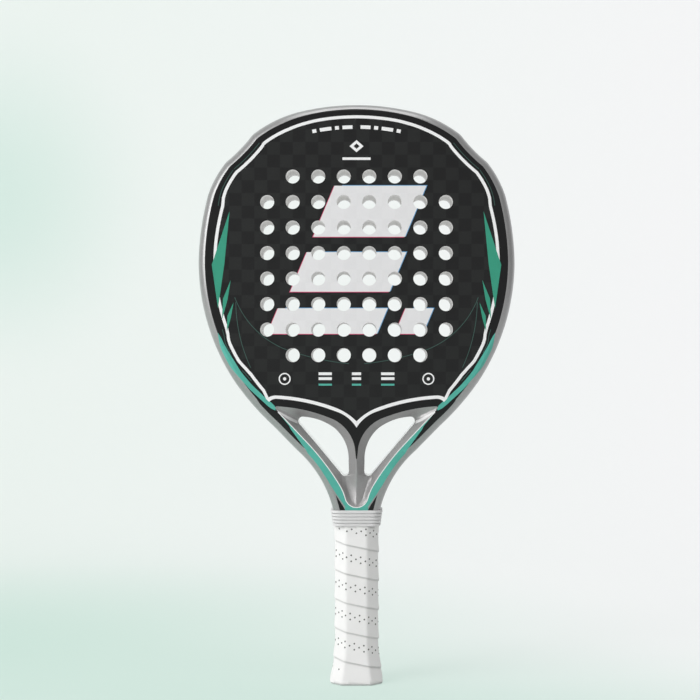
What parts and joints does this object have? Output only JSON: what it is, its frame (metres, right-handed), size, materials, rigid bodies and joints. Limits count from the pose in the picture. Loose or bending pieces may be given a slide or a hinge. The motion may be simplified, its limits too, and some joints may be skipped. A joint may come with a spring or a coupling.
{
  "type": "padel racket",
  "caption": "Padel racket: perforated carbon faces on an EVA core in a tubular frame, with a two-window heart, a ribbed collar and a wrapped octagonal grip.",
  "frame": {"origin": "middle of the butt cap's bottom face", "axes": "+Z from the butt to the crown of the head, +X to the right seen from the front, front face towards -Y"},
  "size_m": [0.25, 0.038, 0.457],
  "materials": {
    "frame_lacquer": "metallic grey lacquer over carbon laminate, satin gloss",
    "pu_foam": "rigid polyurethane foam, open cut",
    "bridge_lacquer": "metallic silver lacquer over moulded carbon",
    "eva_foam": "white EVA foam, fine closed cells",
    "carbon_skin": "satin lacquer over black 12K carbon weave",
    "cap_plastic": "moulded grey-white ABS, fine spark texture",
    "staple_wire": "galvanised steel wire",
    "cushion_pu": "black cushioned polyurethane",
    "overgrip_pu": "white perforated polyurethane wrap, dry matt",
    "tape": "white adhesive tape",
    "collar_rubber": "pale grey moulded rubber"
  },
  "bodies": {
    "root": {"frame_tube": "frame_lacquer", "frame_foam": "pu_foam", "throat_bridge": "bridge_lacquer", "eva_core": "eva_foam", "face_front": "carbon_skin", "face_back": "carbon_skin", "handle_foam": "pu_foam", "butt_cap": "cap_plastic", "butt_staples": "staple_wire", "base_grip": "cushion_pu", "overgrip": "overgrip_pu", "finishing_tape": "tape", "collar": "collar_rubber"}
  },
  "joints": []
}
